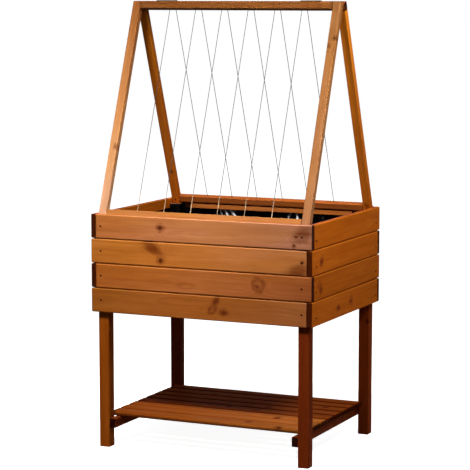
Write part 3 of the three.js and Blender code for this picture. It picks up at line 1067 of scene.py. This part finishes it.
def rounded_loop(corners, step):
    """Points round a closed outline with rounded corners, about a step apart."""
    points = []
    count = len(corners)
    for i, (corner, radius) in enumerate(corners):
        before, (after, next_radius) = corners[i - 1][0], corners[(i + 1) % count]
        start = corner + (before - corner).normalized() * radius
        finish = corner + (after - corner).normalized() * radius
        arc = max(2, round(radius * 1.5 / step * 2))
        for k in range(arc + 1):
            t = k / arc
            points.append(start.lerp(corner, t).lerp(corner.lerp(finish, t), t))
        next_start = after + (corner - after).normalized() * next_radius
        steps = max(1, round((next_start - finish).length / step))
        for k in range(1, steps):
            points.append(finish.lerp(next_start, k / steps))
    return points


corner_list = []
for x, y in ((1, 1), (-1, 1), (-1, -1), (1, -1)):
    on_wall_x = (Vector((x * wall_x, y * post_y)), CONCAVE_RADIUS)
    on_post = (Vector((x * post_x, y * post_y)), CONVEX_RADIUS)
    on_wall_y = (Vector((x * post_x, y * wall_y)), CONCAVE_RADIUS)
    order = [on_wall_x, on_post, on_wall_y]
    corner_list += order if x * y > 0 else order[::-1]
outline = rounded_loop(corner_list, COLUMN_STEP)
columns = len(outline)
print("columns round the film:", columns)

# %% [markdown]
# Under the lath the film is gathered into a few pleats, which lean as they run down. Each is given by its
# place, its width, its height, its lean and how bright a painted highlight its ridge gets.

# %% Creases and pleats
PLEATS = (
    (-0.212, 0.0075, 0.0050, 0.35, 0.55),
    (-0.192, 0.0080, 0.0060, 0.55, 0.8),
    (-0.169, 0.0095, 0.0070, 0.85, 1.0),
    (-0.260, 0.0090, 0.0030, -0.40, 0.0),
    (0.020, 0.0070, 0.0030, 0.30, 0.1),
    (0.080, 0.0070, 0.0060, -0.55, 0.7),
    (0.104, 0.0075, 0.0055, 0.10, 1.0),
    (0.215, 0.0080, 0.0040, -0.35, 0.35),
)
PLEAT_LENGTH = 0.032
LARGE_FACETS, SMALL_FACETS = 0.055, 0.019
ELSEWHERE = Vector((7.1, 3.3, 1.7))
floor_level = liner_low.z + 0.0016
film_edge = RIM - FILM_BELOW_RIM
fold_level = post_high.z + 0.0007


def crumple(place, size):
    """The height of crumpled film, 0 to 1, with facets about `size` across."""
    distances, _ = noise.voronoi(place / size)
    return min(1.0, distances[1] - distances[0])


def crumpled(place):
    """Large facets with small ones over them."""
    return 0.7 * crumple(place, LARGE_FACETS) + 0.3 * crumple(place + ELSEWHERE, SMALL_FACETS)


def pleated(place):
    """How far the pleats stand out of the rear wall of the film, and how bright their painted highlight is
    there.
    """
    below = film_edge - place.z
    depth, pale = 0.0, 0.0
    if place.y >= post_y and below <= 2 * PLEAT_LENGTH:
        fade = math.exp(-((below / PLEAT_LENGTH) ** 2))
        for x, width, height, lean, glint_strength in PLEATS:
            nearness = max(0.0, 1 - abs((place.x - x - lean * below) / width))
            depth += height * nearness * fade
            pale = max(pale, glint_strength * nearness * fade)
    return depth, pale


# %% [markdown]
# Now the rows can be laid: the floor from its middle outwards, the walls from the floor up to the
# film's edge, and the fold, which turns outwards over a post and runs straight on elsewhere.

# %% The film's surface
FLOOR_ROWS, WALL_ROWS, FOLD_ROWS = 26, 40, 9
FOLD_RADIUS = 0.0035
FOLD_TURN_ROWS = 4
CREASE_ANGLE = math.radians(28)
POST_REACH = 0.004
EDGE_WAVE, EDGE_LIFT = 0.003, 0.0012
WALL_SLACK, POST_SLACK, FLOOR_SLACK, FLOOR_SWELL = 0.008, 0.0035, 0.007, 0.004


def near_post(point):
    return abs(point.x) > post_x - POST_REACH and abs(point.y) > post_y - POST_REACH


film = bmesh.new()
inward_normals = []
edge_heights = []
for i, point in enumerate(outline):
    direction = (outline[(i + 1) % columns] - outline[i - 1]).normalized()
    inward_normals.append(Vector((-direction.y, direction.x)))
    raised = sum(near_post(outline[(i + k) % columns]) for k in range(-2, 3)) / 5
    wave = EDGE_WAVE * noise.noise(Vector((point.x * 14, point.y * 14, 5.0)))
    edge_heights.append(film_edge + wave + raised * (fold_level - FOLD_RADIUS - film_edge - wave))
rows = []
for row in range(1, FLOOR_ROWS):
    share = row / FLOOR_ROWS
    ring = []
    for point in outline:
        flat = Vector((point.x * share, point.y * share, 0))
        lift = FLOOR_SLACK * crumpled(flat) + FLOOR_SWELL * noise.noise(flat * 9)
        ring.append(film.verts.new((flat.x, flat.y, floor_level + max(0, lift))))
    rows.append(ring)
for row in range(WALL_ROWS):
    share = row / (WALL_ROWS - 1)
    ring = []
    for i, point in enumerate(outline):
        height = floor_level + share * (edge_heights[i] - floor_level)
        here = Vector((point.x, point.y, height))
        if near_post(point):
            slack = POST_SLACK * crumpled(here) * (1 - share ** 6)
        else:
            slack = WALL_SLACK * crumpled(here) * (1 - 0.6 * share ** 4)
        inward = inward_normals[i] * max(0, slack + pleated(here)[0])
        ring.append(film.verts.new((point.x + inward.x, point.y + inward.y, height)))
    rows.append(ring)
wall_top = rows[-1]
for row in range(1, FOLD_ROWS + 1):
    turn = min(1.0, row / FOLD_TURN_ROWS) * math.pi / 2
    beyond = max(0.0, (row - FOLD_TURN_ROWS) / (FOLD_ROWS - FOLD_TURN_ROWS))
    ring = []
    for i, point in enumerate(outline):
        top = wall_top[i].co
        if near_post(point):
            corner = Vector((math.copysign(wall_x, point.x), math.copysign(wall_y, point.y)))
            flat = Vector((top.x, top.y)) - inward_normals[i] * (FOLD_RADIUS * (1 - math.cos(turn)))
            flat = flat.lerp(corner, beyond)
            lift = 0.0006 * beyond * crumpled(Vector((flat.x, flat.y, 1.0)) * 2.5)
            height = fold_level - FOLD_RADIUS * (1 - math.sin(turn)) + lift
            ring.append(film.verts.new((flat.x, flat.y, height)))
        else:
            ring.append(film.verts.new((top.x, top.y, top.z + EDGE_LIFT * row / FOLD_ROWS)))
    rows.append(ring)
centre = film.verts.new((0, 0, floor_level))
for i in range(columns):
    j = (i + 1) % columns
    film.faces.new((centre, rows[0][i], rows[0][j]))
    for below, above in zip(rows, rows[1:]):
        film.faces.new((below[i], above[i], above[j], below[j]))
bmesh.ops.recalc_face_normals(film, faces=film.faces)
for face in film.faces:
    face.smooth = True
film_data = bpy.data.meshes.new("liner_film")
film.to_mesh(film_data)
film.free()
film_data.set_sharp_from_angle(angle=CREASE_ANGLE)
film_piece = new_object("liner_film", film_data)
print("film faces:", len(film_data.polygons))

# %% [markdown]
# The film is thin, black and shiny. Its finest wrinkles are too small for the mesh, so a bump adds them,
# from the same kind of facets. The ridges of the pleats get a painted white highlight, and the folds over
# the rear posts a painted pinkish highlight. Both are an attribute: how bright each painted highlight is.

# %% Film material
film_black, tree, skin = new_material("black film")
place = row_place(tree)
wrinkle_inputs = {"Vector": place, "Scale": 90.0}
wrinkles = add(
    tree, "ShaderNodeTexVoronoi", wrinkle_inputs, "Distance", feature="DISTANCE_TO_EDGE"
)
dusty = place.noise(25.0, 4.0).ramp(0.45, 0.75)
glint_strength, fold_highlight, _ = read(tree, "crest").parts()
black = blend(dusty, srgb(3, 3, 4), srgb(11, 10, 10))
# Painted highlights: near white on the pleats' ridges, pinkish pale on the folds over the rear posts.
black = blend(glint_strength.ramp(0.15, 0.6), black, srgb(240, 240, 245))
plug(skin["Base Color"], blend(fold_highlight, black, srgb(150, 92, 66)))
plug(skin["Roughness"], dusty * 0.2 + 0.1)
plug(skin["Specular IOR Level"], 0.09)
relieve(skin, wrinkles, 0.7, 0.0014)
film_data.materials.append(film_black)

solid = film_piece.modifiers.new("thickness", "SOLIDIFY")
solid.thickness = FILM_THICKNESS
solid.offset = 0.0
bake_modifiers(film_piece)
# The painted highlights per vertex: the pleats' first, the rear-post folds' second.
marks = []
for vertex in film_piece.data.vertices:
    on_rear_post = vertex.co.z > fold_level - 0.0008 and vertex.co.y > 0
    marks.append((pleated(vertex.co)[1], 0.8 if on_rear_post else 0.0, 0.0))
set_vectors(film_piece.data, "crest", marks)

fit(film_piece, "liner", "planter")

# %% [markdown]
# ## Screws
#
# One head is modelled, with its cross recess cut by two crossed blocks, and Geometry Nodes set a
# copy on every point of a cloud of points. Each point carries the direction that its head faces.
# There is one cloud for each body, because the trellis frames move. The heads are bronzed and the
# hinges painted, so both are dark metals that hardly flare at their edges.

# %% Metal
bronze, tree, skin = new_material("dark bronze screws")
tarnish = row_place(tree).noise(700.0, 3.0)
plug(skin["Base Color"], blend(tarnish, srgb(50, 22, 12), srgb(30, 12, 7)))
plug(skin["Roughness"], tarnish.ramp(0.3, 0.7, 0.7, 0.9))
plug(skin["Metallic"], 1.0)
plug(skin["Specular Tint"], srgb(70, 40, 25))

hinge_brown, tree, skin = new_material("brown painted hinge")
wear = row_place(tree).noise(220.0, 5.0)
plug(skin["Base Color"], blend(wear.ramp(0.58, 0.72), srgb(50, 36, 28), srgb(84, 64, 48)))
plug(skin["Roughness"], wear.ramp(0.3, 0.8, 0.6, 0.42))
plug(skin["Metallic"], 1.0)
plug(skin["Specular Tint"], srgb(110, 90, 75))
relieve(skin, wear, 0.2, 0.0003)

# %% One screw head
NECK_RADIUS = 0.0013
head_profile = [
    (0, -0.0046),
    (NECK_RADIUS, -0.0046),
    (NECK_RADIUS, -0.0036),
    (HEAD_RADIUS - 0.0002, -HEAD_SINK - 0.0003),
    (HEAD_RADIUS, -HEAD_SINK - 0.0001),
    (HEAD_RADIUS - 0.0003, -HEAD_SINK + 0.0001),
    (0, -HEAD_SINK + 0.0001),
]
head = new_object("screw head", lathe("screw head", head_profile, 20))
SLOT_LENGTH, SLOT_WIDTH, SLOT_DEPTH = 0.0038, 0.0009, 0.0016
cross = bmesh.new()
for size in ((SLOT_LENGTH, SLOT_WIDTH), (SLOT_WIDTH, SLOT_LENGTH)):
    bar = bmesh.ops.create_cube(cross, size=1)
    bmesh.ops.scale(cross, vec=(*size, SLOT_DEPTH), verts=bar["verts"])
bmesh.ops.translate(cross, vec=(0, 0, -HEAD_SINK - 0.0002), verts=cross.verts)
cut_with(head, cross, use_self=True)
print("faces of a head:", len(head.data.polygons))

# %% The screws tree
screws_tree, given, end = new_group(
    "heads on points",
    "GeometryNodeTree",
    [
        ("Points", GEOMETRY, None),
        ("Head", "NodeSocketObject", None),
        ("Scale", FLOAT, 1.0),
        ("Seed", INTEGER, 3),
        ("Material", MATERIAL, None),
    ],
    [("Geometry", GEOMETRY)],
)
facing = add(
    screws_tree, "GeometryNodeInputNamedAttribute", {"Name": "facing"}, data_type="FLOAT_VECTOR"
)
aligned = add(screws_tree, "FunctionNodeAlignRotationToVector", {"Vector": facing}, axis="Z")
spin_range = {2: 0.0, 3: math.pi, "Seed": given["Seed"]}
spin = add(screws_tree, "FunctionNodeRandomValue", spin_range, 1, data_type="FLOAT")
own_turn = add(screws_tree, "FunctionNodeAxisAngleToRotation", {"Axis": (0, 0, 1), "Angle": spin})
rotation = {"Rotation": aligned, "Rotate By": own_turn}
turned = add(screws_tree, "FunctionNodeRotateRotation", rotation, rotation_space="LOCAL")
copies_inputs = {
    "Points": add(screws_tree, "GeometryNodeMeshToPoints", {0: given["Points"]}),
    "Instance": add(screws_tree, "GeometryNodeObjectInfo", {"Object": given["Head"]}, "Geometry"),
    "Rotation": turned,
    "Scale": given["Scale"],
}
copies = add(screws_tree, "GeometryNodeInstanceOnPoints", copies_inputs)
close_tree(copies, given, end, smooth=False)
print("screws tree nodes:", len(screws_tree.nodes))

# %% [markdown]
# The slats are nailed to the bearers, the bearers are screwed to the posts, and the frames are held
# at their joints and at the feet. Nails and hinge screws are smaller. Only the boards' screws sit in
# drilled holes. Every other head is lifted by its sink and lies flush.

# %% Heads on their places
FLUSH = HEAD_SINK + 0.0001
NAIL_SCALE, HINGE_SCREW_SCALE = 0.62, 0.75
FOOT_SCREW_HEIGHT = 0.0165
HINGE_SCREW_PITCH = 0.036
LEAF_THICKNESS = 0.002


def set_heads(name, screws, body, scale=1.0, sunk=False):
    """Puts a head on every screw place, as one piece on one body."""
    lift = 0.0 if sunk else FLUSH * scale
    mesh = bpy.data.meshes.new(name)
    mesh.from_pydata([place + outward * lift for place, outward in screws], [], [])
    set_vectors(mesh, "facing", [outward[:] for _, outward in screws])
    piece = grown(screws_tree, name, mesh, Head=head, Scale=scale, Material=bronze)
    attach(piece, body)
    print(name, len(screws))


bearer_screws, slat_nails = [], []
for side_name, x in SIDES:
    low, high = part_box(f"shelf_bearer_{side_name}")
    inner_x = high.x if x < 0 else low.x
    for y in (-1, 1):
        bearer_screws.append((Vector((inner_x, y * post_middle.y, (low.z + high.z) / 2)), X * -x))
    for number in range(1, SLATS + 1):
        slat_low, slat_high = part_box(f"shelf_slat_{number}")
        place = Vector(((low.x + high.x) / 2, (slat_low.y + slat_high.y) / 2, slat_high.z))
        slat_nails.append((place, Z))
lath_face = LATH_MIDDLE.y - LATH_SIZE.y / 2
lath_nails = [(Vector((x, lath_face, LATH_MIDDLE.z)), -Y) for x in LATH_NAIL_PLACES]
set_heads("board_screws", board_screws, "planter", sunk=True)
set_heads("lath_nails", lath_nails, "planter", NAIL_SCALE)
set_heads("bearer_screws", bearer_screws, "planter")
set_heads("slat_nails", slat_nails, "planter", NAIL_SCALE)

for end_name, side in ENDS:
    slope, outward, rail_middle, bar_middle, bar_top = leans[end_name]
    leaf_top = bar_top + slope * (BAR_CLEARANCE + LEAF_THICKNESS)
    large, small = [], []
    for side_name, x in SIDES:
        leg_low, leg_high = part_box(f"trellis_leg_{end_name}_{side_name}")
        leg_x = (leg_low.x + leg_high.x) / 2
        outer_x = leg_low.x if x < 0 else leg_high.x
        large.append((Vector((outer_x, *rail_middle.yz)), X * x))
        if end_name == "front":
            large.append((Vector((outer_x, *bar_middle.yz)), X * x))
        else:
            large.append((Vector((leg_x, *bar_top.yz)), slope))
        reach = (rail_middle.z - leg_low.z - FOOT_SCREW_HEIGHT) / slope.z
        foot = rail_middle - slope * reach - outward * (BATTEN_DEPTH / 2)
        large.append((Vector((leg_x, *foot.yz)), -outward))
        leaf_x = middle(f"hinge_leaf_{end_name}_{side_name}").x
        for step in (-1, 1):
            small.append((leaf_top + X * (leaf_x + step * HINGE_SCREW_PITCH / 2), slope))
    set_heads(f"trellis_screws_{end_name}", large, f"trellis_{end_name}")
    set_heads(f"hinge_screws_{end_name}", small, f"trellis_{end_name}", HINGE_SCREW_SCALE)
bpy.data.objects.remove(head)

# %% [markdown]
# ## Parts of the frame that stay
#
# The hinges and the floor panel have their true shape in the frame already, so they keep it and only
# get a finish. The panel's grain runs on the row's own coordinates, because its mesh has no marks.

# %% Parts of the frame that stay
panel_pine, tree, skin = new_material("floor panel")
values = {"Place": row_place(tree) + (3.0, 0.02, 0.45)}
panel_grain = use_group(tree, grain_group, values)
plug(skin["Base Color"], blend(panel_grain["Streaks"] * 0.6, srgb(176, 116, 66), srgb(132, 78, 38)))
plug(skin["Roughness"], panel_grain["Fibres"].ramp(0.0, 1.0, 0.65, 0.85))
for name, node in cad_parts.items():
    if name.startswith("hinge_") or name == "floor_panel":
        node.data.materials.clear()
        node.data.materials.append(panel_pine if name == "floor_panel" else hinge_brown)
print("frame parts kept:", "hinge leaves, pins and floor panel")

# %% [markdown]
# ## Studio
#
# A soft lamp stands high in front, steep enough for the box to shade the back of the shelf. A second
# one on the right lights the ends, and a weak one behind on the left, as low as the rim, lights the
# back without reaching the shelf. The floor and the surroundings are white to the camera and in
# reflections, through the Light Path node, and darker to the light that bounces, so the undersides
# stay deep.

# %% Lamps and surroundings
AMBIENT = 0.12
FLOOR_HALF = 12.0


def lamp(name, place, target, size, power, spread):
    data = bpy.data.lights.new(name, "AREA")
    data.shape = "DISK"
    data.size = size
    data.energy = power
    data.spread = math.radians(spread)
    made = new_object(name, data)
    made.location = place
    made.rotation_euler = (Vector(target) - Vector(place)).to_track_quat("-Z", "Y").to_euler()


lamp("key", (0.0, -3.0, 4.7), (0, -0.325, 0.95), 1.1, 20, 36)
lamp("side", (1.43, -0.4, 1.9), (0.3, 0, 0.6), 0.6, 23, 180)
lamp("back", (-1.5, 2.6, 0.92), (0, 0, 0.92), 0.8, 4.0, 24)


def seen(tree):
    """1 for rays that show a surface to the eye, straight, mirrored or through glass."""
    path = add(tree, "ShaderNodeLightPath").socket.node.outputs
    seen_now = Wire(path["Is Camera Ray"]).then("MAXIMUM", Wire(path["Is Glossy Ray"]))
    return seen_now.then("MAXIMUM", Wire(path["Is Transmission Ray"]))


world = bpy.data.worlds.new("studio")
world.use_nodes = True
scene.world = world
tree = world.node_tree
tree.nodes.clear()
white = add(tree, "ShaderNodeBackground", {"Color": (1, 1, 1, 1), "Strength": 1.0})
dim = add(tree, "ShaderNodeBackground", {"Color": (1, 0.97, 0.94, 1), "Strength": AMBIENT})
mixed = add(tree, "ShaderNodeMixShader", {0: seen(tree), 1: dim, 2: white})
add(tree, "ShaderNodeOutputWorld", {0: mixed})

floor_white, tree, _ = new_material("studio floor")
tree.nodes.clear()
bright = add(tree, "ShaderNodeBsdfDiffuse", {"Color": (0.9, 0.9, 0.9, 1)})
bounce = add(tree, "ShaderNodeBsdfDiffuse", {"Color": (0.15, 0.14, 0.13, 1)})
far = row_place(tree).then("LENGTH").ramp(0.7, 2.6, 0.93, 1.0)
glow = add(tree, "ShaderNodeEmission", {"Color": (1, 1, 1, 1), "Strength": far})
pale = add(tree, "ShaderNodeAddShader", {0: bright, 1: glow})
mixed = add(tree, "ShaderNodeMixShader", {0: seen(tree), 1: bounce, 2: pale})
add(tree, "ShaderNodeOutputMaterial", {0: mixed})
floor_mesh = bpy.data.meshes.new("studio_floor")
floor_corners = [(-1, -1), (1, -1), (1, 1), (-1, 1)]
floor_mesh.from_pydata([(x * FLOOR_HALF, y * FLOOR_HALF, 0) for x, y in floor_corners], [], [(0, 1, 2, 3)])
floor_mesh.materials.append(floor_white)
new_object("studio_floor", floor_mesh)
print("studio ready")
